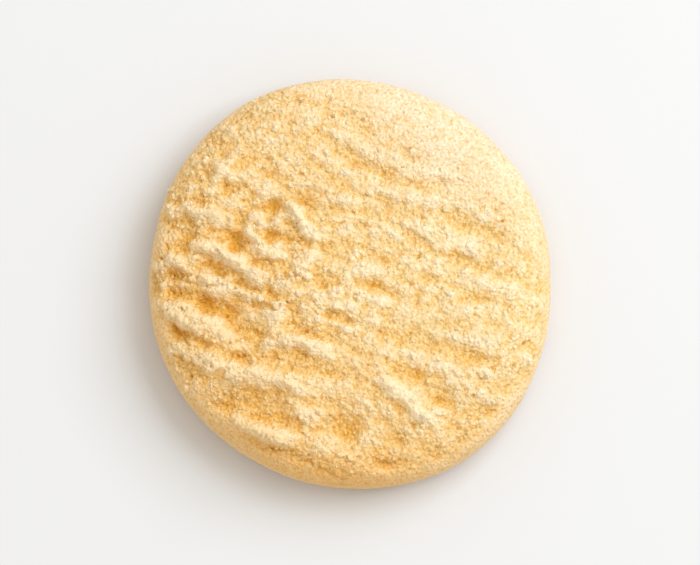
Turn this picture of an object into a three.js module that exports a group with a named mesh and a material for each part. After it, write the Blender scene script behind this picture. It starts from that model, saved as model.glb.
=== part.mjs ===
// Shortbread round: a wire-cut butter biscuit that lies on its baked base with the torn face up.
//
// Millimetres, +Z up. The origin is the centre of the base, on the surface that the biscuit rests on.
// +Y points to the top edge of the face as it is shown, and +X to its right edge.
//
// The biscuit is one solid. Dough was pushed through a round die, which left a smooth skin round the side,
// and a wire cut it off, which tore the face into short, nearly parallel ripples. In the oven the shoulder
// slumped into a round edge, the skin turned over it further on one side, and crumbs broke out of the face.

import * as THREE from "three";

// Driving dimensions of the whole biscuit.
const DIAMETER = 47;
const CROWN_HEIGHT = 9.25;
const WIDEST_HEIGHT = 4.2;
const BASE_EDGE_HEIGHT = 1.2; // height of the rounding between the base and the side
const BASE_SHARE = 0.93; // radius of the flat base over the widest radius
const CROWN_SHARE = 0.76; // radius of the crown, where the shoulder starts, over the widest radius
const CROWN_DOME = 0.35; // how far the crown's edge lies under its middle
const RADIUS = DIAMETER / 2;

// Handles that the section's curves are drawn towards, as shares of the widest radius or of a height.
const SHOULDER_HANDLE = 0.92;
const SHOULDER_DROP = 0.25; // how far that handle lies under the crown's edge, in mm
const UPPER_SIDE_HANDLE = 0.8; // of the height of the crown's edge
const LOWER_SIDE_HANDLE = 0.55; // of the widest height
const FOOT_SHARE = 0.98; // radius at the top of the base's rounding
const FOOT_HANDLE = 0.965;

// The outline is a little out of round: [lobes, share of the radius, direction of the first lobe in degrees].
const OUT_OF_ROUND = [
  [2, 0.02, -62],
  [4, 0.008, 33],
];

// A random pattern has the size of its bumps along and across the wire, their height, and a seed.

// How the skin turns over the shoulder: its width on the face all round, and the wider stretches as
// [direction in degrees, extra width, spread in degrees]. Its edge wanders, and fades into the face.
const SKIN_WIDTH = 0.5;
const SKIN_STRETCHES = [
  [52, 6.4, 36],
  [240, 1.0, 30],
];
const SKIN_EDGE_WANDER = { along: RADIUS / 5, across: RADIUS / 5, height: 0.9, seed: 9 };
const SKIN_EDGE_BLEND = 0.9; // width over which a narrow skin fades into the face
const SKIN_EDGE_FADE = 1.1; // how much wider it fades for each mm of the skin's own width
const SKIN_TURN_HEIGHT = 1.6; // height over the widest line that the skin always covers
const SKIN_SWELL = { along: 6, across: 6, height: 0.14, seed: 11 };
const FACE_DROP = 0.2; // how far the torn face lies under the skin

// Ripples that the wire left across the face. Drift and jitter move them by shares of their spacing.
const WIRE_TURN = -20; // degrees from +X
const RIPPLE_SPACING = 3.6;
const RIPPLE_PHASE = 0.25; // how far the middle of the face lies into its ripple
const RIPPLE_HEIGHT = 0.55;
const RIPPLE_STEEP_SHARE = 0.42; // share of a ripple that is its steep side
const RIPPLE_MEAN = 0.5; // mean height of a ripple over its full height
const RIPPLE_DRIFT = { along: 9, across: 6, height: 0.4, seed: 147 };
const RIPPLE_JITTER = { along: 2.0, across: 1.7, height: 0.22, seed: 113 };
const CALM_JITTER = 0.4; // share of the jitter that is left where the face is calm
const RIPPLE_STRENGTH = 0.6; // mean strength, which each ripple varies along its length
const RIPPLE_FADING = { along: 6.0, across: 0.77, height: 0.5, seed: 165 };
const RIPPLE_OFFSET = 16.65; // how far along the wire each ripple's fading lies from the one before
const MIDDLE_CALM = 0.35; // how much of the ripples' height is gone in the middle of the face
const MIDDLE_RADIUS = 11;

// Crumb broken out of the face: smooth crags and pits, and angular clumps.
const CRAGS = [
  { along: 2.8, across: 1.7, height: 0.32, seed: 135 },
  { along: 1.3, across: 1.0, height: 0.2, seed: 192 },
];
const PITS = { along: 2.8, across: 1.6, height: 1, seed: 212 };
const PIT_DEPTH = 0.5;
const PIT_START = 0.35; // the pattern's height at a pit's rim
const PIT_FULL = 0.8; // the pattern's height at a pit's full depth
const CLUMPS = { along: 1.9, across: 1.25, height: 0.3, tilt: 0.22, crevice: 0.12, seed: 21 };
const CREVICE_REACH = 0.3; // how far a crevice reaches into the clumps beside it, as a share of their size
const CREVICE_MEAN = 0.3; // mean depth of the crevices over the whole face, as a share of their depth
const JOINT_LEVEL = 0.5; // share of their difference in height that two clumps lose where they meet

// The face is roughest left of its middle, and it is quiet towards its upper edge.
const ROUGH_MIDDLE = new THREE.Vector2(-13, 1);
const ROUGH_REACH = new THREE.Vector2(15, 10);
const CALM_RIPPLES = 0.78; // share of the ripples' height where the face is calm
const CALM_CRUMB = 0.38; // share of the crumb's height where the face is calm
const ROUGH_CRUMB = 1.3; // and where it is roughest
const QUIET_TURN = 72; // direction of the quiet edge, in degrees from +X
const QUIET_FROM = 5; // distance from the middle, in that direction, where it starts to be quiet
const QUIET_FADE = 14;
const QUIET_SHARE = 0.42; // share of the relief that is gone at the quiet edge

// Tears and ridges that show from a step away: [x, y, turn in degrees, half length, half width, rise]. A rise
// under zero is the depth of a tear. Their sides sway, and they are deeper in some places than in others.
const MARKS = [
  [-16.8, -2.7, -22, 5.0, 1.1, -0.9],
  [-18.2, -4.9, -24, 3.0, 0.9, 0.65],
  [-19.8, -6.4, -24, 1.8, 0.9, -0.65],
  [-11.7, -6.0, -15, 2.3, 1.1, -0.75],
  [-9.4, -4.5, 0, 0.9, 0.8, 0.55],
  [-15.8, 1.6, -33, 2.0, 0.9, -0.65],
  [-14.8, 2.8, -18, 2.8, 0.8, 0.55],
  [-13.3, 4.9, -70, 2.0, 1.2, -0.75],
  [-19.1, 5.8, -80, 1.6, 0.9, -0.6],
  [-14.2, 13.0, 47, 2.6, 0.9, 0.45],
  [-9.2, 8.0, 0, 1.8, 0.85, -0.45],
  [-6.4, 7.7, -50, 1.7, 0.7, 0.45],
  [-3.6, 7.5, -50, 1.6, 0.8, -0.45],
  [-7.7, 4.8, -15, 2.0, 0.9, -0.65],
  [-4.6, 5.3, -40, 1.8, 0.7, 0.4],
  [-5.4, -7.9, -17, 3.2, 0.9, 0.5],
  [-9.3, -11.8, -14, 5.6, 0.9, 0.85],
  [-11.6, -14.8, -15, 5.4, 1.4, -0.7],
  [-10.5, -17.4, -24, 4.6, 1.0, 0.95],
  [-1.2, -16.8, -22, 2.4, 1.5, -0.75],
  [3.9, 12.3, -19, 4.8, 0.9, -0.4],
  [14.2, 6.0, -14, 4.2, 0.9, -0.35],
  [2.4, -2.2, -18, 2.8, 0.9, 0.35],
  [5.4, -5.8, -20, 2.0, 0.9, -0.45],
  [11.3, -8.2, -17, 6.6, 0.95, -0.6],
  [13.1, -10.6, -12, 3.6, 0.8, 0.35],
  [8.0, -10.8, -22, 3.0, 0.9, -0.5],
  [6.6, -14.1, -40, 4.6, 0.9, 0.8],
  [11.8, -14.9, -28, 3.1, 0.9, -0.45],
  [1.8, -18.0, -20, 4.4, 1.9, -0.6],
];
const MARKS_SWAY = [
  { along: 2.6, across: 2.6, height: 0.5, seed: 19 },
  { along: 2.6, across: 2.6, height: 0.5, seed: 264 },
];
const MARKS_FADING = { along: 3, across: 3, height: 0.4, seed: 91 };

// Mesh: rings of the upper surface, where ring n has six sides of n points, and rows of the wall down to the
// base.
const SIDES = 6;
const RINGS = 39;
const SECTORS = SIDES * RINGS;
const WALL_ROWS = 5;

// Numbers with no simple ratio between them, so that the waves of the random numbers never repeat.
const CHANCE_WAVES = [127.1, 311.7, 191.3];
const CHANCE_SEED_WAVE = 74.7;
const CHANCE_SCALE = 43758.5453;

// Seeds of a lump's own random numbers, counted from the pattern's seed.
const LUMP_SEEDS = { x: 0, y: 0.31, z: 0.67, lean: 0.47, own: 0.83 };
const NEIGHBOURS = [-1, 0, 1];

const radians = THREE.MathUtils.degToRad;
const lerp = THREE.MathUtils.lerp;
const ease = (t) => THREE.MathUtils.smoothstep(t, 0, 1);

/** A repeatable number from 0 to 1 for each whole-numbered place in space, another one for each seed. */
function chance(i, j, k, seed) {
  const [alongX, alongY, alongZ] = CHANCE_WAVES;
  const wave = Math.sin(i * alongX + j * alongY + k * alongZ + seed * CHANCE_SEED_WAVE) * CHANCE_SCALE;
  return wave - Math.floor(wave);
}

/** A smooth random height from -1 to 1 at a point, with bumps about one unit across. */
function unevenness(x, y, z, seed) {
  const [i, j, k] = [x, y, z].map(Math.floor);
  const [fx, fy, fz] = [ease(x - i), ease(y - j), ease(z - k)];
  let sum = 0;
  for (const dx of [0, 1])
    for (const dy of [0, 1])
      for (const dz of [0, 1]) {
        const share = (dx ? fx : 1 - fx) * (dy ? fy : 1 - fy) * (dz ? fz : 1 - fz);
        sum += share * chance(i + dx, j + dy, k + dz, seed);
      }
  return 2 * sum - 1;
}

/** Height of a random pattern at a point, where u runs along the wire, v across it and w upwards. */
function pattern({ along, across, height, seed }, u, v, w = 0) {
  return height * unevenness(u / along, v / across, w / across, seed);
}

/** How a point lies from the middle of the lump in one cell of space, with that lump's own numbers. */
function lumpInCell(point, i, j, k, seed) {
  const drawn = (name) => chance(i, j, k, seed + LUMP_SEEDS[name]);
  const away = point.clone().sub(new THREE.Vector3(i + drawn("x"), j + drawn("y"), k + drawn("z")));
  const lean = 2 * Math.PI * drawn("lean");
  const tilt = away.x * Math.cos(lean) + away.y * Math.sin(lean);
  return { gap: away.length(), own: drawn("own"), tilt };
}

/** The lumps about one unit across that lie nearest to a point, the nearest one first. */
function nearestLumps(point, seed) {
  const [i, j, k] = point.toArray().map(Math.floor);
  const lumps = [];
  for (const dx of NEIGHBOURS)
    for (const dy of NEIGHBOURS)
      for (const dz of NEIGHBOURS) lumps.push(lumpInCell(point, i + dx, j + dy, k + dz, seed));
  return lumps.sort((one, other) => one.gap - other.gap);
}

/** Height of crumb that broke off in angular clumps, each at its own height and tilt, around zero. */
function clumps({ along, across, height, tilt, crevice, seed }, u, v, w) {
  const [nearest, second] = nearestLumps(new THREE.Vector3(u / along, v / across, w / across), seed);
  const joint = 1 - ease((second.gap - nearest.gap) / CREVICE_REACH);
  const level = height * (nearest.own - 0.5) * (1 - JOINT_LEVEL * joint);
  return level + tilt * nearest.tilt - crevice * (joint - CREVICE_MEAN);
}

/** How far round the edge the direction lies from another, as a bell from 1 down to 0. */
function bell(direction, centre, spread) {
  const turn = Math.atan2(Math.sin(direction - centre), Math.cos(direction - centre));
  return Math.exp(-((turn / spread) ** 2));
}

/** The outline's radius in a direction, over the mean radius. */
function outlineShare(direction) {
  return OUT_OF_ROUND.reduce(
    (share, [lobes, size, first]) => share + size * Math.cos(lobes * (direction - radians(first))),
    1,
  );
}

/** How torn the surface is at a point: 0 on the smooth skin and 1 on the open crumb. */
function tornShare(x, y, z) {
  const direction = Math.atan2(y, x);
  const radius = Math.hypot(x, y) / outlineShare(direction);
  const width = SKIN_STRETCHES.reduce(
    (sum, [centre, extra, spread]) => sum + extra * bell(direction, radians(centre), radians(spread)),
    SKIN_WIDTH,
  );
  const wander = pattern(SKIN_EDGE_WANDER, RADIUS * Math.cos(direction), RADIUS * Math.sin(direction));
  const blend = SKIN_EDGE_BLEND + SKIN_EDGE_FADE * width;
  const onFace = ease((RADIUS - width + wander - radius) / blend + 0.5);
  return onFace * ease((z - WIDEST_HEIGHT) / SKIN_TURN_HEIGHT);
}

/** How rough the wire tore the face at a place: 1 where it is roughest, and 0 far from there. */
function roughness(x, y) {
  const [across, up] = [(x - ROUGH_MIDDLE.x) / ROUGH_REACH.x, (y - ROUGH_MIDDLE.y) / ROUGH_REACH.y];
  return Math.exp(-(across ** 2) - up ** 2);
}

/** Share of its relief that the face keeps at a place: the wire tore least off its upper edge. */
function loudness(x, y) {
  const towards = x * Math.cos(radians(QUIET_TURN)) + y * Math.sin(radians(QUIET_TURN));
  return 1 - QUIET_SHARE * ease((towards - QUIET_FROM) / QUIET_FADE);
}

/** Height of the wire's ripples, where u runs along the wire and v across it. */
function ripples(u, v, rough) {
  const jitter = pattern(RIPPLE_JITTER, u, v) * lerp(CALM_JITTER, 1, rough);
  const phase = RIPPLE_PHASE + v / RIPPLE_SPACING + pattern(RIPPLE_DRIFT, u, v) + jitter;
  const ripple = Math.floor(phase);
  const across = phase - ripple;
  const wave =
    across < RIPPLE_STEEP_SHARE
      ? ease(across / RIPPLE_STEEP_SHARE)
      : 1 - ease((across - RIPPLE_STEEP_SHARE) / (1 - RIPPLE_STEEP_SHARE));
  const strength = RIPPLE_STRENGTH + pattern(RIPPLE_FADING, u + ripple * RIPPLE_OFFSET, ripple);
  const calm = 1 - MIDDLE_CALM * (1 - ease(Math.hypot(u, v) / MIDDLE_RADIUS));
  return RIPPLE_HEIGHT * (wave - RIPPLE_MEAN) * strength * calm;
}

/** Height of the crumb that broke out between the ripples. */
function crumb(u, v, w) {
  const crags = CRAGS.reduce((sum, crag) => sum + pattern(crag, u, v), 0);
  const pits = ease((pattern(PITS, u, v) - PIT_START) / (PIT_FULL - PIT_START));
  return crags - PIT_DEPTH * pits + clumps(CLUMPS, u, v, w);
}

/** Height of one tear or ridge at a place. */
function mark([centreX, centreY, turn, halfLength, halfWidth, rise], x, y) {
  const [c, s] = [Math.cos(radians(turn)), Math.sin(radians(turn))];
  const along = ((x - centreX) * c + (y - centreY) * s) / halfLength;
  const across = ((y - centreY) * c - (x - centreX) * s) / halfWidth;
  return rise * Math.exp(-(along ** 4) - across ** 2);
}

/** Height of all the tears and ridges, with ragged sides and uneven depths. */
function marks(x, y) {
  const [swayX, swayY] = MARKS_SWAY.map((sway) => pattern(sway, x, y));
  const height = MARKS.reduce((sum, one) => sum + mark(one, x + swayX, y + swayY), 0);
  return height * (1 + pattern(MARKS_FADING, x, y));
}

/** How far the real surface stands out from the smooth form at a point of it. */
function relief(x, y, z) {
  const [c, s] = [Math.cos(radians(WIRE_TURN)), Math.sin(radians(WIRE_TURN))];
  const u = x * c + y * s;
  const v = y * c - x * s;
  const rough = roughness(x, y);
  const rippled = lerp(CALM_RIPPLES, 1, rough) * ripples(u, v, rough);
  const broken = lerp(CALM_CRUMB, ROUGH_CRUMB, rough) * crumb(u, v, z);
  const torn = loudness(x, y) * (rippled + broken) + marks(x, y);
  return tornShare(x, y, z) * (torn - FACE_DROP) + pattern(SKIN_SWELL, x, y, z);
}

/** Upper half of the section, from the crown to the widest line, where x is the radius and y the height. */
function upperSection() {
  const crownRadius = CROWN_SHARE * RADIUS;
  const crownEdge = CROWN_HEIGHT - CROWN_DOME;
  const shoulder = new THREE.Vector2(SHOULDER_HANDLE * RADIUS, crownEdge - SHOULDER_DROP);
  const side = new THREE.Vector2(RADIUS, UPPER_SIDE_HANDLE * crownEdge);
  const section = new THREE.Path();
  section.moveTo(0, CROWN_HEIGHT);
  section.quadraticCurveTo(crownRadius / 2, CROWN_HEIGHT, crownRadius, crownEdge);
  section.bezierCurveTo(shoulder.x, shoulder.y, side.x, side.y, RADIUS, WIDEST_HEIGHT);
  return section;
}

/** Lower half of the section, from the widest line down round the base's edge. */
function lowerSection() {
  const section = new THREE.Path();
  section.moveTo(RADIUS, WIDEST_HEIGHT);
  section.quadraticCurveTo(RADIUS, LOWER_SIDE_HANDLE * WIDEST_HEIGHT, FOOT_SHARE * RADIUS, BASE_EDGE_HEIGHT);
  section.quadraticCurveTo(FOOT_HANDLE * RADIUS, 0, BASE_SHARE * RADIUS, 0);
  return section;
}

/** Adds a level ring of points to the list, at one point of the section, and gives its first one's number. */
function addRing(positions, { x: radius, y: height }, count) {
  const first = positions.length / 3;
  for (let n = 0; n < count; n++) {
    const direction = (2 * Math.PI * n) / count;
    positions.push(radius * Math.cos(direction), radius * Math.sin(direction), height);
  }
  return first;
}

/** Triangles between ring n of the upper surface and the next smaller one, side by side. */
function joinFaceRings(triangles, inner, outer, ring) {
  const smaller = ring - 1;
  const within = (side, step) => inner + (smaller ? (side * smaller + step) % (SIDES * smaller) : 0);
  const outside = (side, step) => outer + ((side * ring + step) % (SIDES * ring));
  for (let side = 0; side < SIDES; side++) {
    triangles.push(within(side, 0), outside(side, 0), outside(side, 1));
    for (let step = 1; step < ring; step++) {
      triangles.push(within(side, step - 1), outside(side, step), within(side, step));
      triangles.push(within(side, step), outside(side, step), outside(side, step + 1));
    }
  }
}

/** Triangles between two rows of the wall, which have the same number of points. */
function joinWallRows(triangles, upper, lower) {
  for (let n = 0; n < SECTORS; n++) {
    const next = (n + 1) % SECTORS;
    triangles.push(lower + n, lower + next, upper + n);
    triangles.push(upper + n, lower + next, upper + next);
  }
}

/** The biscuit's smooth form as one closed surface, from the middle of the face to the middle of the base. */
function smoothForm() {
  const positions = [];
  const triangles = [];
  const levels = upperSection().getSpacedPoints(RINGS);
  let last = addRing(positions, levels[0], 1);
  for (let ring = 1; ring <= RINGS; ring++) {
    const next = addRing(positions, levels[ring], SIDES * ring);
    joinFaceRings(triangles, last, next, ring);
    last = next;
  }
  for (const level of lowerSection().getSpacedPoints(WALL_ROWS).slice(1)) {
    const next = addRing(positions, level, SECTORS);
    joinWallRows(triangles, last, next);
    last = next;
  }
  const baseCentre = addRing(positions, new THREE.Vector2(0, 0), 1);
  for (let n = 0; n < SECTORS; n++) triangles.push(baseCentre, last + ((n + 1) % SECTORS), last + n);
  const surface = new THREE.BufferGeometry();
  surface.setAttribute("position", new THREE.Float32BufferAttribute(positions, 3));
  surface.setIndex(triangles);
  return surface;
}

/** Moves each point out of round, and then in or out by the relief, leaving the base flat. */
function bake(surface) {
  surface.computeVertexNormals();
  const { position, normal } = surface.attributes;
  for (let n = 0; n < position.count; n++) {
    const place = new THREE.Vector3().fromBufferAttribute(position, n);
    const onBase = place.z === 0;
    const share = outlineShare(Math.atan2(place.y, place.x));
    place.multiply(new THREE.Vector3(share, share, 1));
    if (!onBase) {
      const outwards = new THREE.Vector3().fromBufferAttribute(normal, n);
      place.addScaledVector(outwards, relief(place.x, place.y, place.z));
    }
    position.setXYZ(n, place.x, place.y, place.z);
  }
}

/** The whole biscuit as one closed surface, centred over the origin. */
function biscuitGeometry() {
  const surface = smoothForm();
  bake(surface);
  surface.computeBoundingBox();
  const middle = surface.boundingBox.getCenter(new THREE.Vector3());
  surface.translate(-middle.x, -middle.y, 0);
  surface.computeVertexNormals();
  return surface;
}

const bakedCrumb = new THREE.MeshStandardMaterial({ color: 0xf3cf92, roughness: 0.85, metalness: 0 });

const biscuit = new THREE.Mesh(biscuitGeometry(), bakedCrumb);
biscuit.name = "biscuit";

const shortbreadRound = new THREE.Group();
shortbreadRound.add(biscuit);

export default shortbreadRound;
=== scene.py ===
"""Dresses the shortbread round: a wire-cut butter biscuit that lies on its baked base with the torn face up.

The biscuit is one baked piece. Its smooth form is modelled ring by ring, from the same sizes as the solid
that it stands for. Then its crumb is broken out of the face, from the ripples that the cutting wire
left down to single grains. Loose crumbs cling to the face.
"""

from __future__ import annotations

import logging
import math
from dataclasses import dataclass
from enum import Enum
from itertools import pairwise, product
from typing import Any

import bpy
import numpy as np
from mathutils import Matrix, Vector


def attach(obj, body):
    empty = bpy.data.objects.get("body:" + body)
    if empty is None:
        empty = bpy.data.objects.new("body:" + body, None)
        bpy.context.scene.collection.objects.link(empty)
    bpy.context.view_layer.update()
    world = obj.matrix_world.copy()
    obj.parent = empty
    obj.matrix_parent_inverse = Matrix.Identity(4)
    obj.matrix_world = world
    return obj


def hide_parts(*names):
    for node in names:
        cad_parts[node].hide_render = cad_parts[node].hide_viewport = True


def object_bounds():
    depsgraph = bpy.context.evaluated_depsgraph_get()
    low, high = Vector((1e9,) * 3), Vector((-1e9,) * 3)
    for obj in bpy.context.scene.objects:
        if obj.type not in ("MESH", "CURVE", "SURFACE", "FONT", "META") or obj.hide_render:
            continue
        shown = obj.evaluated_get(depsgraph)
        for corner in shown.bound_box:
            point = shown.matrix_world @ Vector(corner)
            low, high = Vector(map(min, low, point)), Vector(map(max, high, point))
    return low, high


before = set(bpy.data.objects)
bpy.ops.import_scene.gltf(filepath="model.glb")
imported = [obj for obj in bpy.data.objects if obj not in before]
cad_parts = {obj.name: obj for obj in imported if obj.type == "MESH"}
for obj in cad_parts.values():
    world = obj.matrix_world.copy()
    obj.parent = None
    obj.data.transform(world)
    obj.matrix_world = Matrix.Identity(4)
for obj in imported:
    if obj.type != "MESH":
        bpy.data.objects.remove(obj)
CAD_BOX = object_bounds()

MM = 0.001
NODE = "biscuit"

log = logging.getLogger("shortbread")

Array = np.ndarray
Place = tuple[float, float]


class Trait(Enum):
    """What a point of the surface is like, from 0 to 1, each named as the attribute that keeps it.

    Attributes:
        TORN: smooth skin or torn crumb.
        LIT_PALE: painted light, how much lighter the smooth skin is laid on, on the side towards the key
            light.
        GOLDEN_AND_SHADE: how far the oven browned it, with painted shade towards the lower left and at the
            bottom rim.
        BAKED: how near it is to the browned base.
        DEPTH: on a crest, level, or in a crevice, which sets where highlight and shade are painted.
        TINT: each grain's own number.
    """

    TORN = "torn"
    LIT_PALE = "pale"
    GOLDEN_AND_SHADE = "golden_and_shade"
    BAKED = "baked"
    DEPTH = "depth"
    TINT = "tint"


# Random patterns
# ---------------

# A place's random number is the fraction of a large wave. The steps are how far x, y, z and the seed move it.
WAVE_STEPS = (127.1, 311.7, 191.3, 74.7)
WAVE_HEIGHT = 43758.5453

# What a lump adds to its seed to draw its middle's y and z, its own number and the direction of its lean.
SEED_Y, SEED_Z, SEED_NUMBER, SEED_LEAN = 0.31, 0.67, 0.83, 0.47
FAR = 9.0  # farther than the nearest lump can be, in lumps

CREVICE_REACH = 0.3  # how far a crevice reaches into the clumps beside it, as a share of their size
CREVICE_MEAN = 0.3  # mean depth of the crevices over the whole face, as a share of their depth
JOINT_LEVEL = 0.5  # share of their difference in height that two clumps lose where they meet


def ease(share: Array | float) -> Array:
    """A smooth step from 0 to 1, for how far along the step each place is."""
    share = np.clip(share, 0.0, 1.0)
    return share * share * (3.0 - 2.0 * share)


def chance(i: Array, j: Array, k: Array, seed: float) -> Array:
    """A repeatable number from 0 to 1 for each whole-numbered place in space.

    Args:
        i, j, k: the place.
        seed: another one gives other numbers.

    Returns:
        The numbers.
    """
    step_i, step_j, step_k, step_seed = WAVE_STEPS
    wave = np.sin(i * step_i + j * step_j + k * step_k + seed * step_seed) * WAVE_HEIGHT
    return wave - np.floor(wave)


def unevenness(x: Array, y: Array, z: Array, seed: float) -> Array:
    """A smooth random height, with bumps about one unit across.

    Args:
        x, y, z: the points.
        seed: another one gives another pattern.

    Returns:
        Heights from -1 to 1.
    """
    i, j, k = np.floor(x), np.floor(y), np.floor(z)
    fx, fy, fz = ease(x - i), ease(y - j), ease(z - k)
    total = np.zeros(np.broadcast(x, y, z).shape)
    for dx, dy, dz in product((0, 1), repeat=3):
        share = (fx if dx else 1 - fx) * (fy if dy else 1 - fy) * (fz if dz else 1 - fz)
        total += share * chance(i + dx, j + dy, k + dz, seed)
    return 2.0 * total - 1.0


def lumps(x: Array, y: Array, z: Array, seed: float) -> tuple[Array, Array, Array, Array]:
    """Lumps packed side by side, about one unit across.

    Args:
        x, y, z: the points.
        seed: another one gives other lumps.

    Returns:
        How far each point is from the nearest lump's middle and from the second nearest one's, the nearest
        lump's own number from 0 to 1, and how high the point lies on its tilted top, from about -1 to 1.
    """
    i, j, k = np.floor(x), np.floor(y), np.floor(z)
    nearest = np.full(i.shape, FAR)
    second = np.full(i.shape, FAR)
    own = np.zeros(i.shape)
    tilt = np.zeros(i.shape)
    for dx, dy, dz in product((-1, 0, 1), repeat=3):
        ci, cj, ck = i + dx, j + dy, k + dz
        gx = x - ci - chance(ci, cj, ck, seed)
        gy = y - cj - chance(ci, cj, ck, seed + SEED_Y)
        gz = z - ck - chance(ci, cj, ck, seed + SEED_Z)
        gap = np.sqrt(gx**2 + gy**2 + gz**2)
        closer = gap < nearest
        lean = 2 * math.pi * chance(ci, cj, ck, seed + SEED_LEAN)
        own = np.where(closer, chance(ci, cj, ck, seed + SEED_NUMBER), own)
        tilt = np.where(closer, gx * np.cos(lean) + gy * np.sin(lean), tilt)
        second = np.minimum(second, np.maximum(nearest, gap))
        nearest = np.minimum(nearest, gap)
    return nearest, second, own, tilt


def turned(x: Array, y: Array, degrees: float) -> tuple[Array, Array]:
    """Distances of places along a direction, given in degrees from +X, and across it to its left."""
    cosine, sine = math.cos(math.radians(degrees)), math.sin(math.radians(degrees))
    return x * cosine + y * sine, y * cosine - x * sine


def nearness(direction: Array, centre: float, spread: float) -> Array:
    """How near directions are to a chosen one: 1 there, and less to both sides of it.

    Args:
        direction: the directions, in radians.
        centre, spread: the chosen direction and how wide it spreads, in degrees.

    Returns:
        The nearness, from 0 to 1.
    """
    turn = direction - math.radians(centre)
    turn = np.arctan2(np.sin(turn), np.cos(turn))
    return np.exp(-((turn / math.radians(spread)) ** 2))


@dataclass(frozen=True)
class Pattern:
    """A smooth random pattern in millimetres, with u along the wire's ripples and v across them.

    Attributes:
        along: size of its bumps along the wire.
        across: size of its bumps across the wire, and upwards.
        height: height of the bumps over and under their mean.
        seed: another one gives another pattern.
    """

    along: float
    across: float
    height: float
    seed: float

    def at(self, u: Array, v: Array, w: Array | float = 0.0) -> Array:
        """The pattern's height at points."""
        w = np.zeros_like(u) + w
        return self.height * unevenness(u / self.along, v / self.across, w / self.across, self.seed)


@dataclass(frozen=True)
class Clumps:
    """Crumb that broke off in angular clumps, each at its own height and tilt, in millimetres.

    Attributes:
        along: size of a clump along the wire.
        across: size of a clump across the wire, and upwards.
        height: how much the clumps' heights differ.
        tilt: how much a clump rises from side to side.
        crevice: depth of the crevices between them.
        seed: another one gives other clumps.
    """

    along: float
    across: float
    height: float
    tilt: float
    crevice: float
    seed: float

    def at(self, u: Array, v: Array, w: Array) -> Array:
        """The clumps' height.

        Args:
            u, v, w: the points, along the wire, across it and upwards.

        Returns:
            The heights, around zero.
        """
        nearest, second, own, tilt = lumps(u / self.along, v / self.across, w / self.across, self.seed)
        joint = 1.0 - ease((second - nearest) / CREVICE_REACH)
        level = self.height * (own - 0.5) * (1 - JOINT_LEVEL * joint)
        return level + self.tilt * tilt - self.crevice * (joint - CREVICE_MEAN)


@dataclass(frozen=True)
class Pores:
    """Small round holes, scattered evenly, in millimetres.

    Attributes:
        spacing: distance between their middles.
        share: a hole's radius over that distance.
        depth: depth of the holes.
        seed: another one gives other holes.
    """

    spacing: float
    share: float
    depth: float
    seed: float

    def at(self, x: Array, y: Array, z: Array) -> Array:
        """The holes' depth at points, which is 0 between them."""
        nearest = lumps(x / self.spacing, y / self.spacing, z / self.spacing, self.seed)[0]
        return self.depth * (1 - ease(nearest / self.share))


@dataclass(frozen=True)
class Mark:
    """A tear or a ridge of the face that shows from a step away, in millimetres.

    Attributes:
        x, y: its middle.
        turn: its direction from +X, in degrees.
        half_length, half_width: half of its size.
        rise: how far it stands up, or under zero, how deep it is torn.
    """

    x: float
    y: float
    turn: float
    half_length: float
    half_width: float
    rise: float

    def at(self, x: Array, y: Array) -> Array:
        """The mark's height at places."""
        along, across = turned(x - self.x, y - self.y, self.turn)
        return self.rise * np.exp(-((along / self.half_length) ** 4) - (across / self.half_width) ** 2)


MARKS: tuple[Mark, ...] = (
    Mark(-16.8, -2.7, -22, 5.0, 1.1, -0.9),
    Mark(-18.2, -4.9, -24, 3.0, 0.9, 0.65),
    Mark(-19.8, -6.4, -24, 1.8, 0.9, -0.65),
    Mark(-11.7, -6.0, -15, 2.3, 1.1, -0.75),
    Mark(-9.4, -4.5, 0, 0.9, 0.8, 0.55),
    Mark(-15.8, 1.6, -33, 2.0, 0.9, -0.65),
    Mark(-14.8, 2.8, -18, 2.8, 0.8, 0.55),
    Mark(-13.3, 4.9, -70, 2.0, 1.2, -0.75),
    Mark(-19.1, 5.8, -80, 1.6, 0.9, -0.6),
    Mark(-14.2, 13.0, 47, 2.6, 0.9, 0.45),
    Mark(-9.2, 8.0, 0, 1.8, 0.85, -0.45),
    Mark(-6.4, 7.7, -50, 1.7, 0.7, 0.45),
    Mark(-3.6, 7.5, -50, 1.6, 0.8, -0.45),
    Mark(-7.7, 4.8, -15, 2.0, 0.9, -0.65),
    Mark(-4.6, 5.3, -40, 1.8, 0.7, 0.4),
    Mark(-5.4, -7.9, -17, 3.2, 0.9, 0.5),
    Mark(-9.3, -11.8, -14, 5.6, 0.9, 0.85),
    Mark(-11.6, -14.8, -15, 5.4, 1.4, -0.7),
    Mark(-10.5, -17.4, -24, 4.6, 1.0, 0.95),
    Mark(-1.2, -16.8, -22, 2.4, 1.5, -0.75),
    Mark(3.9, 12.3, -19, 4.8, 0.9, -0.4),
    Mark(14.2, 6.0, -14, 4.2, 0.9, -0.35),
    Mark(2.4, -2.2, -18, 2.8, 0.9, 0.35),
    Mark(5.4, -5.8, -20, 2.0, 0.9, -0.45),
    Mark(11.3, -8.2, -17, 6.6, 0.95, -0.6),
    Mark(13.1, -10.6, -12, 3.6, 0.8, 0.35),
    Mark(8.0, -10.8, -22, 3.0, 0.9, -0.5),
    Mark(6.6, -14.1, -40, 4.6, 0.9, 0.8),
    Mark(11.8, -14.9, -28, 3.1, 0.9, -0.45),
    Mark(1.8, -18.0, -20, 4.4, 1.9, -0.6),
)


# Modelling
# ---------


def deselect_all() -> None:
    """Leaves nothing selected, so that operators act on a new piece alone."""
    for obj in bpy.context.selected_objects:
        obj.select_set(False)


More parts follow.
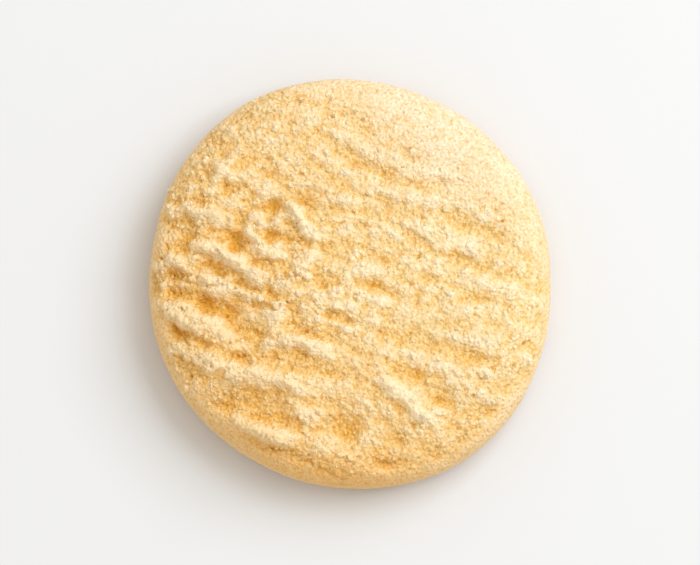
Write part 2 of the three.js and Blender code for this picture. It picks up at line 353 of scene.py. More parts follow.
def numbers(items: Any, name: str, each: int) -> Array:
    """Reads one property of all of a mesh's points, edges or faces.

    Args:
        items: the points, edges or faces.
        name: the property.
        each: how many numbers it has for each of them.

    Returns:
        The numbers, one row each.
    """
    flat = np.empty(each * len(items))
    items.foreach_get(name, flat)
    return flat.reshape(-1, each)


def coordinates(piece: bpy.types.Object) -> Array:
    """A piece's points in millimetres, one row each."""
    return numbers(piece.data.vertices, "co", 3) / MM


def set_coordinates(piece: bpy.types.Object, points: Array) -> None:
    """Moves a piece's points to places in millimetres."""
    piece.data.vertices.foreach_set("co", (points * MM).ravel())
    piece.data.update()


def outward_directions(piece: bpy.types.Object) -> Array:
    """The direction out of a piece at each of its points, one row each."""
    return numbers(piece.data.vertex_normals, "vector", 3)


def smoothed(piece: bpy.types.Object, values: Array, rounds: int) -> Array:
    """Evens out a value over a piece's surface.

    Args:
        piece: the piece.
        values: one value for each of its points.
        rounds: how many times each point's value goes halfway to the mean of its neighbours'.

    Returns:
        The evened values.
    """
    first, second = numbers(piece.data.edges, "vertices", 2).astype(int).T
    count = len(values)
    neighbours = np.bincount(first, minlength=count) + np.bincount(second, minlength=count)
    for _ in range(rounds):
        total = np.bincount(first, values[second], count) + np.bincount(second, values[first], count)
        values = 0.5 * values + 0.5 * total / neighbours
    return values


def paint(piece: bpy.types.Object, traits: dict[Trait, Array]) -> None:
    """Keeps what a piece's points are like, for its material to read.

    Args:
        piece: the piece.
        traits: for each trait, a value from 0 to 1 for each point.
    """
    for trait, values in traits.items():
        layer = piece.data.attributes.new(trait.value, "FLOAT", "POINT")
        layer.data.foreach_set("value", np.clip(values, 0.0, 1.0).astype(np.float32))


def painted(piece: bpy.types.Object, trait: Trait) -> Array:
    """Reads what a piece's points are like.

    Args:
        piece: the piece.
        trait: the trait that is read.

    Returns:
        A value from 0 to 1 for each of its points.
    """
    values = np.empty(len(piece.data.vertices), dtype=np.float32)
    piece.data.attributes[trait.value].data.foreach_get("value", values)
    return values


def curve(handles: list[Place], steps: int) -> list[Place]:
    """A smooth curve between its first and last handle, drawn towards the ones between.

    Args:
        handles: three or four points.
        steps: how many straight steps it is drawn in.

    Returns:
        The points along it.
    """
    points = np.array(handles, dtype=float)
    degree = len(points) - 1
    along = np.linspace(0, 1, steps + 1)[:, None]
    weights = [math.comb(degree, n) * along**n * (1 - along) ** (degree - n) for n in range(degree + 1)]
    drawn = sum(weight * point for weight, point in zip(weights, points, strict=True))
    return [(float(x), float(y)) for x, y in drawn]


def random_turns(draw: np.random.Generator, count: int) -> Array:
    """Turns that point each copy another way.

    Args:
        draw: where the random numbers come from.
        count: how many turns.

    Returns:
        One 3 by 3 matrix for each.
    """
    q = draw.normal(size=(count, 4))
    w, x, y, z = (q / np.linalg.norm(q, axis=1, keepdims=True)).T
    rows = (
        (1 - 2 * (y * y + z * z), 2 * (x * y - z * w), 2 * (x * z + y * w)),
        (2 * (x * y + z * w), 1 - 2 * (x * x + z * z), 2 * (y * z - x * w)),
        (2 * (x * z - y * w), 2 * (y * z + x * w), 1 - 2 * (x * x + y * y)),
    )
    return np.array(rows).transpose(2, 0, 1)


@dataclass(frozen=True)
class WireCutFace:
    """The relief of the face, which a wire tore open. Its sizes are in millimetres."""

    # Ripples that the wire left. Drift and jitter move them by shares of their spacing.
    wire_turn: float = -20.0  # degrees from +X
    ripple_spacing: float = 3.6
    ripple_phase: float = 0.25  # how far the middle of the face lies into its ripple
    ripple_height: float = 0.55
    ripple_steep_share: float = 0.42  # share of a ripple that is its steep side
    ripple_mean: float = 0.5  # mean height of a ripple over its full height
    ripple_drift: Pattern = Pattern(9.0, 6.0, 0.4, 147)
    ripple_jitter: Pattern = Pattern(2.0, 1.7, 0.22, 113)
    calm_jitter: float = 0.4  # share of the jitter that is left where the face is calm
    ripple_strength: float = 0.6  # mean strength, which each ripple varies along its length
    ripple_fading: Pattern = Pattern(6.0, 0.77, 0.5, 165)
    ripple_offset: float = 16.65  # how far along the wire each ripple's fading lies from the one before
    middle_calm: float = 0.35  # share of the ripples' height that is gone in the middle
    middle_radius: float = 11.0

    # Crumb broken out of the face, from coarse to fine.
    crags: tuple[Pattern, ...] = (Pattern(2.8, 1.7, 0.32, 135), Pattern(1.3, 1.0, 0.2, 192))
    pits: Pattern = Pattern(2.8, 1.6, 1.0, 212)
    pit_depth: float = 0.5
    pit_start: float = 0.35  # the pattern's height at a pit's rim
    pit_full: float = 0.8  # the pattern's height at a pit's full depth
    clumps: Clumps = Clumps(1.9, 1.25, 0.3, 0.22, 0.12, 21)
    grains: Clumps = Clumps(0.75, 0.6, 0.16, 0.14, 0.08, 22)
    pores: Pores = Pores(1.25, 0.3, 0.4, 31)

    # The marks' sides sway, and they are deeper in some places than in others.
    marks_sway: tuple[Pattern, Pattern] = (Pattern(2.6, 2.6, 0.5, 19), Pattern(2.6, 2.6, 0.5, 264))
    marks_fading: Pattern = Pattern(3.0, 3.0, 0.4, 91)

    # The face is roughest left of its middle, and it is quiet towards its upper edge.
    rough_middle: Place = (-13.0, 1.0)
    rough_reach: Place = (15.0, 10.0)
    calm_ripples: float = 0.78  # share of the ripples' height where the face is calm
    calm_crumb: float = 0.38  # share of the crumb's height where the face is calm
    rough_crumb: float = 1.3  # and where it is roughest
    quiet_turn: float = 72.0  # direction of the quiet edge, in degrees from +X
    quiet_from: float = 5.0  # distance from the middle, in that direction, where it starts to be quiet
    quiet_fade: float = 14.0
    quiet_share: float = 0.42  # share of the relief that is gone at the quiet edge

    def roughness(self, x: Array, y: Array) -> Array:
        """How rough the wire tore the face at places: 1 where it is roughest, and 0 far from there."""
        (middle_x, middle_y), (reach_x, reach_y) = self.rough_middle, self.rough_reach
        return np.exp(-(((x - middle_x) / reach_x) ** 2) - ((y - middle_y) / reach_y) ** 2)

    def loudness(self, x: Array, y: Array) -> Array:
        """Share of its relief that the face keeps at places: the wire tore least off its upper edge."""
        towards, _ = turned(x, y, self.quiet_turn)
        return 1 - self.quiet_share * ease((towards - self.quiet_from) / self.quiet_fade)

    def ripples(self, u: Array, v: Array, rough: Array) -> Array:
        """Height of the wire's ripples, each with a steep and a gentle side.

        Args:
            u, v: places along the wire and across it.
            rough: how rough the face is there.

        Returns:
            The heights.
        """
        jitter = self.ripple_jitter.at(u, v) * (self.calm_jitter + (1 - self.calm_jitter) * rough)
        phase = self.ripple_phase + v / self.ripple_spacing + self.ripple_drift.at(u, v) + jitter
        ripple = np.floor(phase)
        across = phase - ripple
        steep = self.ripple_steep_share
        wave = np.where(across < steep, ease(across / steep), 1 - ease((across - steep) / (1 - steep)))
        strength = self.ripple_strength + self.ripple_fading.at(u + ripple * self.ripple_offset, ripple)
        calm = 1 - self.middle_calm * (1 - ease(np.hypot(u, v) / self.middle_radius))
        return self.ripple_height * (wave - self.ripple_mean) * strength * calm

    def crumb(self, u: Array, v: Array) -> Array:
        """Height of the coarse crumb that broke out between the ripples.

        Args:
            u, v: places along the wire and across it.

        Returns:
            The heights.
        """
        crags = sum(crag.at(u, v) for crag in self.crags)
        pits = ease((self.pits.at(u, v) - self.pit_start) / (self.pit_full - self.pit_start))
        return crags - self.pit_depth * pits

    def marks(self, x: Array, y: Array) -> Array:
        """Height of the tears and ridges that show from a step away."""
        sway_x, sway_y = (sway.at(x, y) for sway in self.marks_sway)
        return sum(mark.at(x + sway_x, y + sway_y) for mark in MARKS) * (1 + self.marks_fading.at(x, y))

    def relief(self, x: Array, y: Array, z: Array) -> Array:
        """How far the torn face stands out from the smooth form, with all of its crumb.

        Args:
            x, y, z: the smooth form's points.

        Returns:
            The distances outwards.
        """
        u, v = turned(x, y, self.wire_turn)
        rough, loud = self.roughness(x, y), self.loudness(x, y)
        rippled = loud * (self.calm_ripples + (1 - self.calm_ripples) * rough)
        crumbly = loud * (self.calm_crumb + (self.rough_crumb - self.calm_crumb) * rough)
        coarse = rippled * self.ripples(u, v, rough) + crumbly * self.crumb(u, v) + self.marks(x, y)
        fine = crumbly * self.clumps.at(u, v, z) + self.grains.at(u, v, z) - self.pores.at(u, v, z)
        return coarse + fine


@dataclass(frozen=True)
class Baking:
    """How the oven coloured the biscuit, with painted light and shade, in millimetres and degrees from +X."""

    # The smooth skin over the upper right edge, the side towards the key light, is laid on lighter: painted
    # light.
    pale_turn: float = 55.0
    pale_spread: float = 48.0

    # All of it is browned a little and less in the middle, and it is darker towards the lower left as painted
    # shade.
    browned: float = 0.18
    # painted shade: the gold darkens towards the lower left, away from the key light
    shade_turn: float = 205.0
    shade_reach: float = 78.0  # distance that way over which the browning goes from none to full
    middle_less: float = 0.05
    middle_radius: float = 8.0

    # The rim is darkest at the bottom of the face, over the lower part of the side: partly the oven's browned
    # gold and partly painted shade.
    rim_browning_and_shade: float = 0.48
    rim_turn: float = 270.0
    rim_spread: float = 40.0
    rim_from: float = 0.8  # share of the radius where it starts
    rim_blend: float = 0.14  # share of the radius over which it comes up
    rim_low: float = 2.0  # height where it starts
    rim_rise: float = 3.0  # height over which it comes up

    # The base is baked brown, with an edge that wanders up and down.
    base_reach: float = 6.5
    base_wander: Pattern = Pattern(3.0, 3.0, 0.7, 33)

    def paleness(self, points: Array, relief_share: Array) -> Array:
        """How much lighter the smooth skin is laid on, on the side towards the key light: painted light.

        Args:
            points: the biscuit's points.
            relief_share: the share of the torn face's relief that shows at each of them.

        Returns:
            The paleness, from 0 to 1.
        """
        x, y, _ = points.T
        side = nearness(np.arctan2(y, x), self.pale_turn, self.pale_spread)
        return side * (1 - relief_share)

    def browning_and_shade(self, points: Array, radius: float) -> Array:
        """How far the oven browned the face and the side, with painted shade towards the lower left and at
        the bottom rim.

        Args:
            points: the biscuit's points.
            radius: its radius.

        Returns:
            The browned gold and painted shade, where 0 is none.
        """
        x, y, z = points.T
        out = np.hypot(x, y)
        towards, _ = turned(x, y, self.shade_turn)
        rim = ease((out / radius - self.rim_from) / self.rim_blend)
        rim = rim * nearness(np.arctan2(y, x), self.rim_turn, self.rim_spread)
        rim = rim * ease((z - self.rim_low) / self.rim_rise)
        middle = np.exp(-((out / self.middle_radius) ** 2))
        return self.browned + towards / self.shade_reach - self.middle_less * middle + self.rim_browning_and_shade * rim

    def base_heat(self, points: Array) -> Array:
        """How near points are to the browned base: 1 on it, and 0 well over it."""
        wandering = points[:, 2] + self.base_wander.at(*points.T)
        return 1 - ease(wandering / self.base_reach)


@dataclass
class Biscuit:
    """The biscuit, all in one piece. Its sizes are in millimetres."""

    diameter: float = 47.0
    crown_height: float = 9.25
    widest_height: float = 4.2
    base_edge_height: float = 1.2  # height of the rounding between the base and the side
    base_share: float = 0.93  # radius of the flat base over the widest radius
    crown_share: float = 0.76  # radius of the crown, where the shoulder starts, over the widest radius
    crown_dome: float = 0.35  # how far the crown's edge lies under its middle
    # Lobes, their share of the radius, and the direction of the first one in degrees.
    out_of_round: tuple[tuple[int, float, float], ...] = ((2, 0.02, -62.0), (4, 0.008, 33.0))

    # Handles that the section's curves are drawn towards, as shares of the widest radius or of a height.
    shoulder_handle: float = 0.92
    shoulder_drop: float = 0.25  # how far that handle lies under the crown's edge
    upper_side_handle: float = 0.8  # of the height of the crown's edge
    lower_side_handle: float = 0.55  # of the widest height
    foot_share: float = 0.98  # radius at the top of the base's rounding
    foot_handle: float = 0.965
    foot_steps: int = 6
    side_steps: int = 5
    shoulder_steps: int = 16
    crown_steps: int = 12

    # How the skin turns over the shoulder: its width on the face all round, and the wider stretches as
    # (direction in degrees, extra width, spread in degrees). Its edge wanders, and fades into the face.
    skin_width: float = 0.5
    skin_stretches: tuple[tuple[float, float, float], ...] = ((52.0, 6.4, 36.0), (240.0, 1.0, 30.0))
    skin_edge_wander: Pattern = Pattern(4.7, 4.7, 0.9, 9)
    skin_edge_blend: float = 0.9  # width over which a narrow skin fades into the face
    skin_edge_fade: float = 1.1  # how much wider it fades for each mm of the skin's width
    skin_turn_height: float = 1.6  # height over the widest line that the skin always covers
    skin_swell: Pattern = Pattern(6.0, 6.0, 0.14, 11)
    skin_grains: Clumps = Clumps(0.8, 0.8, 0.03, 0.02, 0.02, 23)
    skin_pinholes: Pores = Pores(2.1, 0.2, 0.3, 32)

    face: WireCutFace = WireCutFace()
    face_drop: float = 0.2  # how far the torn face lies under the skin
    baking: Baking = Baking()

    sectors: int = 96
    voxel: float = 0.4
    divided_from: float = -0.5  # how far up a face has to look to be divided, where -1 is straight down
    base_under: float = 0.05  # what lies lower than this belongs to the flat base
    depth_wide: int = 120  # rounds of evening out that leave the face's broad form
    depth_narrow: int = 2  # and the rounds that leave its crests and crevices
    depth_span: float = 1.35  # difference in height between the highest crest and the deepest crevice
    tint_size: float = 0.75
    tint_seed: float = 23

    @property
    def radius(self) -> float:
        """The widest radius."""
        return self.diameter / 2

    def section(self) -> list[Place]:
        """Draws the section.

        Returns:
            Its points from the base's edge up to the crown, as (radius, height).
        """
        radius, top = self.radius, self.crown_height
        foot = (self.foot_share * radius, self.base_edge_height)
        widest = (radius, self.widest_height)
        rim_radius, rim_height = rim = (self.crown_share * radius, top - self.crown_dome)
        upper_side = (radius, self.upper_side_handle * rim_height)
        under_rim = (self.shoulder_handle * radius, rim_height - self.shoulder_drop)
        edge = curve([(self.base_share * radius, 0), (self.foot_handle * radius, 0), foot], self.foot_steps)
        side = curve([foot, (radius, self.lower_side_handle * self.widest_height), widest], self.side_steps)
        shoulder = curve([widest, upper_side, under_rim, rim], self.shoulder_steps)
        crown = curve([rim, (rim_radius / 2, top), (0, top)], self.crown_steps)
        return edge + side[1:] + shoulder[1:] + crown[1:-1]

    def outline_share(self, direction: Array) -> Array:
        """How far the outline is out of round.

        Args:
            direction: directions from the middle, in radians.

        Returns:
            The outline's radius in each direction, over the mean radius.
        """
        share = np.ones_like(direction)
        for lobes, size, first in self.out_of_round:
            share += size * np.cos(lobes * (direction - math.radians(first)))
        return share

    def torn_share(self, points: Array) -> Array:
        """How torn the surface is: the skin covers the side and turns over the shoulder.

        Args:
            points: the smooth form's points.

        Returns:
            0 on the smooth skin and 1 on the open crumb.
        """
        x, y, z = points.T
        direction = np.arctan2(y, x)
        width = np.full_like(direction, self.skin_width)
        for centre, extra, spread in self.skin_stretches:
            width += extra * nearness(direction, centre, spread)
        wander = self.skin_edge_wander.at(self.radius * np.cos(direction), self.radius * np.sin(direction))
        edge = self.radius - width + wander
        radius = np.hypot(x, y) / self.outline_share(direction)
        blend = self.skin_edge_blend + self.skin_edge_fade * width
        on_face = ease((edge - radius) / blend + 0.5)
        return on_face * ease((z - self.widest_height) / self.skin_turn_height)

    def relief(self, points: Array, torn: Array) -> Array:
        """How far the surface stands out from the smooth form.

        Args:
            points: the smooth form's points.
            torn: how torn the surface is there.

        Returns:
            The distances outwards.
        """
        x, y, z = points.T
        skin = self.skin_swell.at(x, y, z) + self.skin_grains.at(x, y, z) - self.skin_pinholes.at(x, y, z)
        return torn * (self.face.relief(x, y, z) - self.face_drop) + skin

    def smooth_form(self) -> bpy.types.Object:
        """Models the dough's smooth form: a disc drawn up ring by ring along the section.

        Returns:
            The form, closed and of even small faces.
        """
        section = self.section()
        deselect_all()
        bpy.ops.mesh.primitive_circle_add(
            vertices=self.sectors, radius=section[0][0] * MM, fill_type="NGON", location=(0, 0, 0)
        )
        form = bpy.context.object
        bpy.ops.object.mode_set(mode="EDIT")
        bpy.ops.mesh.select_all(action="SELECT")
        for (radius, height), (next_radius, next_height) in pairwise(section):
            bpy.ops.mesh.extrude_region_move(
                TRANSFORM_OT_translate={"value": (0, 0, (next_height - height) * MM)}
            )
            share = next_radius / radius
            bpy.ops.transform.resize(value=(share, share, 1), center_override=(0, 0, next_height * MM))
        bpy.ops.mesh.select_all(action="SELECT")
        bpy.ops.mesh.normals_make_consistent(inside=False)
        bpy.ops.object.mode_set(mode="OBJECT")
        remesh = form.modifiers.new("even_faces", "REMESH")
        remesh.mode = "VOXEL"
        remesh.voxel_size = self.voxel * MM
        bpy.ops.object.modifier_apply(modifier=remesh.name)
        return form

    def divide_faces(self, form: bpy.types.Object) -> None:
        """Divides the faces that look up or sideways, where crumb and pinholes show.

        Args:
            form: the smooth form.
        """
        mesh = form.data
        upwards = numbers(mesh.polygons, "normal", 3)[:, 2]
        for items in (mesh.vertices, mesh.edges):
            items.foreach_set("select", np.zeros(len(items), dtype=bool))
        mesh.polygons.foreach_set("select", upwards > self.divided_from)
        bpy.ops.object.mode_set(mode="EDIT")
        bpy.ops.mesh.select_mode(type="FACE")
        bpy.ops.mesh.subdivide(number_cuts=1)
        bpy.ops.object.mode_set(mode="OBJECT")

    def build(self) -> bpy.types.Object:
        """Models the biscuit: the smooth form, put out of round, with its relief raised on it.

        Returns:
            The finished piece, which keeps what its material reads.
        """
        piece = self.smooth_form()
        piece.name = piece.data.name = "baked_biscuit"
        self.divide_faces(piece)
        points = coordinates(piece)
        outwards = outward_directions(piece)
        flat = points[:, 2] < self.base_under
        points[:, 2][flat] = 0
        share = self.outline_share(np.arctan2(points[:, 1], points[:, 0]))
        points[:, :2] *= share[:, None]
        torn = self.torn_share(points)
        raised = self.relief(points, torn)
        raised[flat] = 0
        points += outwards * raised[:, None]
        points[:, 2] = np.maximum(points[:, 2], 0)
        low, high = points.min(axis=0), points.max(axis=0)
        points[:, :2] -= (low[:2] + high[:2]) / 2
        set_coordinates(piece, points)
        self.keep_traits(piece, points, torn, raised)
        for polygon in piece.data.polygons:
            polygon.use_smooth = True
        log.info("%s: %d points, %d faces", piece.name, len(points), len(piece.data.polygons))
        return piece

    def keep_traits(self, piece: bpy.types.Object, points: Array, torn: Array, raised: Array) -> None:
        """Keeps what the biscuit's points are like.

        Args:
            piece: the biscuit.
            points: its points.
            torn: how torn the surface is at each.
            raised: how far its relief stands out there.
        """
        deeper = smoothed(piece, raised, self.depth_wide) - smoothed(piece, raised, self.depth_narrow)
        traits = {
            Trait.TORN: torn,
            # painted light: the smooth skin is laid on lighter on the side towards the key light
            Trait.LIT_PALE: self.baking.paleness(points, torn * self.face.loudness(*points.T[:2])),
            # the oven's browned gold, with painted shade towards the lower left and at the bottom rim
            Trait.GOLDEN_AND_SHADE: self.baking.browning_and_shade(points, self.radius),
            Trait.BAKED: self.baking.base_heat(points),
            # painted highlight on the crests and painted shade in the crevices
            Trait.DEPTH: 0.5 + deeper / self.depth_span,
            Trait.TINT: lumps(*(points.T / self.tint_size), self.tint_seed)[2],
        }
        paint(piece, traits)


@dataclass
class ClingingCrumbs:
    """Loose grains of crumb that cling to the torn face. Their sizes are in millimetres."""

    count: int = 1900
    smallest: float = 0.26
    largest: float = 0.95
    crowding: float = 2.6  # the higher, the more of them are small
    sunk: float = 0.2  # share of its size that a grain is sunk in
    fewest: float = 0.35  # share of the grains that is left where they are thinnest
    thin_from: float = 6.0  # how far to the right they start to be as thin as that
    thin_over: float = 22.0  # distance over which they thin out
    sides: int = 7
    rows: int = 4
    stretch: float = 0.3  # how much longer or shorter than wide a grain may be
    cuts: int = 9  # flat sides that are broken off each grain
    deepest_cut: float = 0.52  # how near to its middle they come, as a share of its radius
    # painted highlight: crumbs are laid on further up the crests' scale than the face under them
    highlight_lift: float = 0.08  # how much higher on the crests' scale it lies than the face under it
    seed: int = 5

    def model_grain(self) -> bpy.types.Object:
        """Models the round grain, 1 mm across, that all of them are broken from.

        Returns:
            The grain.
        """
        deselect_all()
        bpy.ops.mesh.primitive_uv_sphere_add(
            segments=self.sides, ring_count=self.rows, radius=MM / 2, location=(0, 0, 0)
        )
        bpy.ops.object.mode_set(mode="EDIT")
        bpy.ops.mesh.select_all(action="SELECT")
        bpy.ops.mesh.quads_convert_to_tris()
        bpy.ops.object.mode_set(mode="OBJECT")
        return bpy.context.object

    def chances(self, points: Array, torn: Array) -> Array:
        """How likely a grain is to cling at each of the biscuit's points.

        Args:
            points: the biscuit's points.
            torn: how torn the surface is at each.

        Returns:
            The chances, which add up to 1.
        """
        thick = ease((self.thin_from - points[:, 0]) / self.thin_over)
        weight = torn**2 * (self.fewest + (1 - self.fewest) * thick)
        return weight / weight.sum()

    def broken_shapes(self, draw: np.random.Generator, shape: Array) -> Array:
        """Breaks copies of the round grain to angular shapes, each turned another way.

        Args:
            draw: where the random numbers come from.
            shape: the round grain's points.

        Returns:
            The points of each broken grain, still about 1 mm across.
        """
        stretch = 1 + self.stretch * draw.uniform(-1, 1, (self.count, 1, 3))
        cut_normals = draw.normal(size=(self.count, self.cuts, 3))
        cut_normals /= np.linalg.norm(cut_normals, axis=2, keepdims=True)
        cut_depths = draw.uniform(self.deepest_cut, 1, (self.count, 1, self.cuts))
        directions = shape / np.linalg.norm(shape, axis=1, keepdims=True)
        towards_cut = np.einsum("pi,gci->gpc", directions, cut_normals)
        reach = np.min(cut_depths / np.maximum(towards_cut, self.deepest_cut), axis=2)
        return (shape[None] * stretch * reach[..., None]) @ random_turns(draw, self.count)

    def build(self, form: Biscuit, biscuit: bpy.types.Object) -> bpy.types.Object:
        """Models one grain, and lays broken copies of it over the torn face as one joined mesh.

        Args:
            form: the biscuit's sizes.
            biscuit: the finished biscuit.

        Returns:
            The crumbs.
        """
        draw = np.random.default_rng(self.seed)
        crumbs = self.model_grain()
        shape = coordinates(crumbs)
        # The triangles come in another order on each run, so they are sorted.
        corners = np.array(sorted(polygon.vertices[:] for polygon in crumbs.data.polygons))
        points, outwards = coordinates(biscuit), outward_directions(biscuit)
        chances = self.chances(points, painted(biscuit, Trait.TORN))
        places = draw.choice(len(points), self.count, replace=False, p=chances)
        size = self.smallest + (self.largest - self.smallest) * draw.random(self.count) ** self.crowding
        broken = self.broken_shapes(draw, shape)
        middles = points[places] - outwards[places] * (self.sunk * size)[:, None]
        grains = middles[:, None] + broken * size[:, None, None]
        grains[..., 2] = np.maximum(grains[..., 2], 0)
        laid = grains.reshape(-1, 3)
        faces = corners[None] + (len(shape) * np.arange(self.count))[:, None, None]
        joined = bpy.data.meshes.new("clinging_crumbs")
        joined.from_pydata((laid * MM).tolist(), [], faces.reshape(-1, 3).tolist())
        crumbs.data = joined
        crumbs.name = joined.name
        tint = np.repeat(draw.random(self.count), len(shape))
        # painted highlight: the crumbs stand higher on the crests' scale
        depth = painted(biscuit, Trait.DEPTH)[places] - self.highlight_lift
        traits = {
            Trait.TORN: np.ones_like(tint),
            Trait.LIT_PALE: np.zeros_like(tint),
            # the oven's browned gold, with painted shade towards the lower left and at the bottom rim
            Trait.GOLDEN_AND_SHADE: form.baking.browning_and_shade(laid, form.radius),
            Trait.BAKED: np.zeros_like(tint),
            Trait.DEPTH: np.repeat(depth, len(shape)),
            Trait.TINT: tint,
        }
        paint(crumbs, traits)
        log.info("%s: %d grains, %d faces", crumbs.name, self.count, len(joined.polygons))
        return crumbs


# Finishes
# --------

# The Mix node's colour sockets share their names with others, so they are given by their numbers.
MIX_SHARE, MIX_UNDER, MIX_OVER, MIX_RESULT = 0, 6, 7, 2


def linear(colour: str) -> tuple[float, float, float, float]:
    """Turns an sRGB hex colour into the linear one that a shader takes."""
    channels = [int(colour[n : n + 2], 16) / 255 for n in (1, 3, 5)]
    return (*(c / 12.92 if c <= 0.04045 else ((c + 0.055) / 1.055) ** 2.4 for c in channels), 1.0)


def add_node(
    tree: bpy.types.NodeTree, kind: str, inputs: dict[Any, Any] | None = None, **settings: Any
) -> Any:
    """Adds a node with its settings, values and links.

    Args:
        tree: where it goes.
        kind: the node's type.
        inputs: for each input, by name or number, a value or the output that it is linked to.
        settings: the node's own settings.

    Returns:
        The node.
    """
    node = tree.nodes.new(kind)
    for name, value in settings.items():
        setattr(node, name, value)
    for name, value in (inputs or {}).items():
        if isinstance(value, bpy.types.NodeSocket):
            tree.links.new(value, node.inputs[name])
        else:
            node.inputs[name].default_value = value
    return node


class Blend(Enum):
    """How a layer of colour goes over what is under it."""

    COVER = "MIX"
    STAIN = "MULTIPLY"


@dataclass(frozen=True)
class Layer:
    """A colour that lies on the biscuit where a value runs from one number to another.

    Attributes:
        colour: its sRGB colour.
        start, full: the value where it begins, and the value where it is laid on in full.
        strength: its share where it is laid on in full.
        blend: how it goes over what is under it.
    """

    colour: str
    start: float = 0.0
    full: float = 1.0
    strength: float = 1.0
    blend: Blend = Blend.COVER


@dataclass(frozen=True)
class BakedShortbread:
    """Baked shortbread, of butter, flour and sugar, moulded as dough, cut by a wire and baked pale."""

    # Flour and sugar leave it dry and matt, with hardly any gloss. The butter between the grains lets light
    # in a little way, which warms its shadows. Crests are laid on lighter as painted highlight, and crevices
    # a deeper gold as painted shade.
    skin: str = "#F5D8AA"
    crumb: Layer = Layer("#F6D8A2")
    # painted light: the smooth skin on the side towards the key light is laid on lighter
    lit_pale_skin: Layer = Layer("#F8E2C8")
    # painted highlight: crests are laid on lighter, for the light that they catch
    crest: Layer = Layer("#FAE8CA", start=0.55, full=0.33)
    # painted shade: crevices are laid on a deeper gold, for the shade in them
    crevice: Layer = Layer("#E2AB47", start=1.05, full=1.5)
    toasted: Layer = Layer("#EABE73", start=0.55, strength=0.3)
    side: Layer = Layer("#F5D8AA", full=0.3, strength=0.85)
    base: Layer = Layer("#C3905A", start=0.82, strength=0.85)
    fleck: Layer = Layer("#DEA960", start=0.62, full=0.74, strength=0.35)
    patch: Layer = Layer("#E2AB47", start=0.35, full=0.7, strength=0.16)
    # partly the oven's browned gold, partly painted shade towards the lower left and at the bottom rim
    browning_and_shade: Layer = Layer("#F8DEAD", blend=Blend.STAIN)

    # Flour, of up to 0.1 mm, is too fine to show, so the finest pattern is as coarse as caster sugar, whose
    # grains are 0.2 to 0.5 mm wide.
    grain_mm: float = 0.34
    grain_detail: float = 2.0
    grain_rise_mm: float = 0.14
    sand_mm: float = 0.42
    sand_rise_mm: float = 0.2
    patch_mm: float = 7.0
    patch_detail: float = 3.0
    crevice_grain: float = 1.2  # how much single grains break up the crevices' colour

    roughness: float = 0.72
    specular_level: float = 0.18
    lit_inside: float = 0.3  # share of the light that enters
    lit_colours: tuple[float, float, float] = (1.0, 0.8, 0.5)  # how far red, green and blue get
    lit_depth_mm: float = 0.35

    def make(self) -> bpy.types.Material:
        """Makes the material.

        Returns:
            The material.
        """
        material = bpy.data.materials.new("baked_shortbread")
        material.use_nodes = True
        tree = material.node_tree
        tree.nodes.clear()
        place = add_node(tree, "ShaderNodeTexCoord").outputs["Object"]
        torn, pale, golden_and_shade, baked, depth, tint = (
            add_node(tree, "ShaderNodeAttribute", attribute_name=trait.value).outputs["Fac"]
            for trait in Trait
        )
        patch, grain = (
            add_node(
                tree, "ShaderNodeTexNoise", {"Vector": place, "Scale": 1 / (size * MM), "Detail": detail}
            ).outputs["Fac"]
            for size, detail in ((self.patch_mm, self.patch_detail), (self.grain_mm, self.grain_detail))
        )
        uneven_depth = add_node(
            tree, "ShaderNodeMath", {0: grain, 1: self.crevice_grain, 2: depth}, operation="MULTIPLY_ADD"
        ).outputs[0]
        body: Any = linear(self.skin)
        for layer, value in (
            (self.crumb, torn),
            (self.lit_pale_skin, pale),
            (self.crest, depth),
            (self.crevice, uneven_depth),
            (self.toasted, tint),
            (self.side, baked),
            (self.base, baked),
            (self.fleck, grain),
            (self.patch, patch),
            (self.browning_and_shade, golden_and_shade),
        ):
            share = add_node(
                tree,
                "ShaderNodeMapRange",
                {"Value": value, "From Min": layer.start, "From Max": layer.full, "To Max": layer.strength},
            )
            body = add_node(
                tree,
                "ShaderNodeMix",
                {MIX_SHARE: share.outputs["Result"], MIX_UNDER: body, MIX_OVER: linear(layer.colour)},
                data_type="RGBA",
                blend_type=layer.blend.value,
            ).outputs[MIX_RESULT]
        sand = add_node(tree, "ShaderNodeTexVoronoi", {"Vector": place, "Scale": 1 / (self.sand_mm * MM)})
        sanded = add_node(
            tree,
            "ShaderNodeBump",
            {"Height": sand.outputs["Distance"], "Distance": self.sand_rise_mm * MM, "Strength": 1.0},
            invert=True,
        ).outputs["Normal"]
        grained = add_node(
            tree,
            "ShaderNodeBump",
            {"Height": grain, "Distance": self.grain_rise_mm * MM, "Strength": 1.0, "Normal": sanded},
        ).outputs["Normal"]
        shader = add_node(
            tree,
            "ShaderNodeBsdfPrincipled",
            {
                "Base Color": body,
                "Roughness": self.roughness,
                "Specular IOR Level": self.specular_level,
                "Subsurface Weight": self.lit_inside,
                "Subsurface Radius": self.lit_colours,
                "Subsurface Scale": self.lit_depth_mm * MM,
                "Normal": grained,
            },
        )
        add_node(tree, "ShaderNodeOutputMaterial", {"Surface": shader.outputs["BSDF"]})
        return material


@dataclass(frozen=True)
class PaperSweep:
    """White background paper, pulp that was pressed and left uncoated."""

    # Its fibres throw light back evenly and almost whole, so it has no gloss.
    colour: str = "#DFDFE3"
    roughness: float = 0.95
    specular_level: float = 0.1

    def make(self) -> bpy.types.Material:
        """Makes the material.

        Returns:
            The material.
        """
        material = bpy.data.materials.new("white_background_paper")
        material.use_nodes = True
        shader = material.node_tree.nodes["Principled BSDF"]
        shader.inputs["Base Color"].default_value = linear(self.colour)
        shader.inputs["Roughness"].default_value = self.roughness
        shader.inputs["Specular IOR Level"].default_value = self.specular_level
        return material


# Studio
# ------


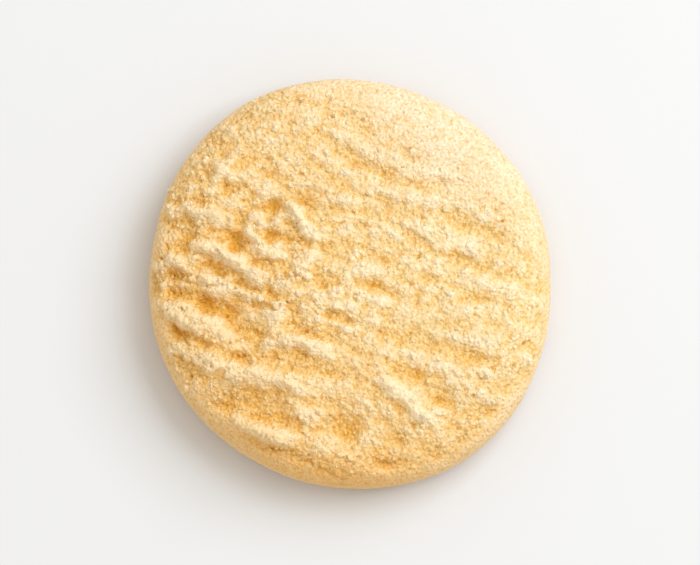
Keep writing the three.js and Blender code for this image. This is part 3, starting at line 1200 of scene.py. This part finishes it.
@dataclass
class Studio:
    """A pale floor, a soft light from the upper right and a camera that looks down on the face.

    Its lengths are in metres, and the picture's width and height in pixels.
    """

    floor_side: float = 8.0
    key_direction: tuple[float, float, float] = (0.56, 0.34, 0.76)
    key_distance: float = 0.7
    key_side: float = 0.54
    key_watts: float = 3.95
    key_colour: str = "#F1F9FF"
    fill_colour: str = "#FCF7EA"
    fill_strength: float = 0.81
    camera_elevation: float = 82.0
    camera_distance: float = 1.39
    camera_sees: tuple[float, float] = (0.05, 20.0)  # the nearest and the farthest that it shows
    frame_share: float = 0.73  # share of the picture's height that the object fills
    sensor_mm: float = 36.0
    width: int = 700
    height: int = 565

    def build(self, low: Vector, high: Vector) -> None:
        """Builds the studio round the object.

        Args:
            low, high: the corners of the object's box.
        """
        middle = (low + high) / 2
        self.lay_floor()
        self.hang_key(middle)
        self.fill_room()
        self.set_camera(middle, high.y - low.y)

    def lay_floor(self) -> None:
        """Lays the floor that the object rests on."""
        deselect_all()
        bpy.ops.mesh.primitive_plane_add(size=self.floor_side, location=(0, 0, 0))
        floor = bpy.context.object
        floor.name = "floor"
        floor.data.materials.append(PaperSweep().make())

    def hang_key(self, middle: Vector) -> None:
        """Hangs the soft main light, facing the object.

        Args:
            middle: the middle of the object.
        """
        direction = Vector(self.key_direction).normalized()
        light = bpy.data.lights.new("key", "AREA")
        light.shape = "SQUARE"
        light.size = self.key_side
        light.energy = self.key_watts
        light.color = linear(self.key_colour)[:3]
        lamp = bpy.data.objects.new("key", light)
        lamp.location = middle + direction * self.key_distance
        lamp.rotation_euler = direction.to_track_quat("Z", "Y").to_euler()
        bpy.context.scene.collection.objects.link(lamp)

    def fill_room(self) -> None:
        """Fills the room with even, pale light."""
        world = bpy.data.worlds.new("studio")
        world.use_nodes = True
        background = world.node_tree.nodes["Background"]
        background.inputs["Color"].default_value = linear(self.fill_colour)
        background.inputs["Strength"].default_value = self.fill_strength
        bpy.context.scene.world = world

    def set_camera(self, middle: Vector, depth: float) -> None:
        """Points the camera down at the face, with the lens that fills the picture as it should.

        Args:
            middle: the middle of the object.
            depth: how deep the object is, from its front to its back.
        """
        elevation = math.radians(self.camera_elevation)
        back = Vector((0, -math.cos(elevation), math.sin(elevation)))
        data = bpy.data.cameras.new("camera")
        data.sensor_width = self.sensor_mm
        frame_height = depth / self.frame_share
        data.lens = self.sensor_mm * self.height / self.width * self.camera_distance / frame_height
        data.clip_start, data.clip_end = self.camera_sees
        camera = bpy.data.objects.new("camera", data)
        camera.location = middle + back * self.camera_distance
        camera.rotation_euler = back.to_track_quat("Z", "Y").to_euler()
        bpy.context.scene.collection.objects.link(camera)
        bpy.context.scene.camera = camera
        bpy.context.scene.view_settings.view_transform = "Standard"


def main() -> None:
    """Builds the biscuit and the studio."""
    logging.basicConfig(level=logging.INFO, format="%(name)s: %(message)s")
    form = Biscuit()
    biscuit = form.build()
    crumbs = ClingingCrumbs().build(form, biscuit)
    shortbread = BakedShortbread().make()
    for piece in (biscuit, crumbs):
        piece.data.materials.clear()
        piece.data.materials.append(shortbread)
        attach(piece, "root")
    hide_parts(NODE)
    log.info("%s stands for the node %s", biscuit.name, NODE)
    Studio().build(*CAD_BOX)


if __name__ == "__main__":
    main()
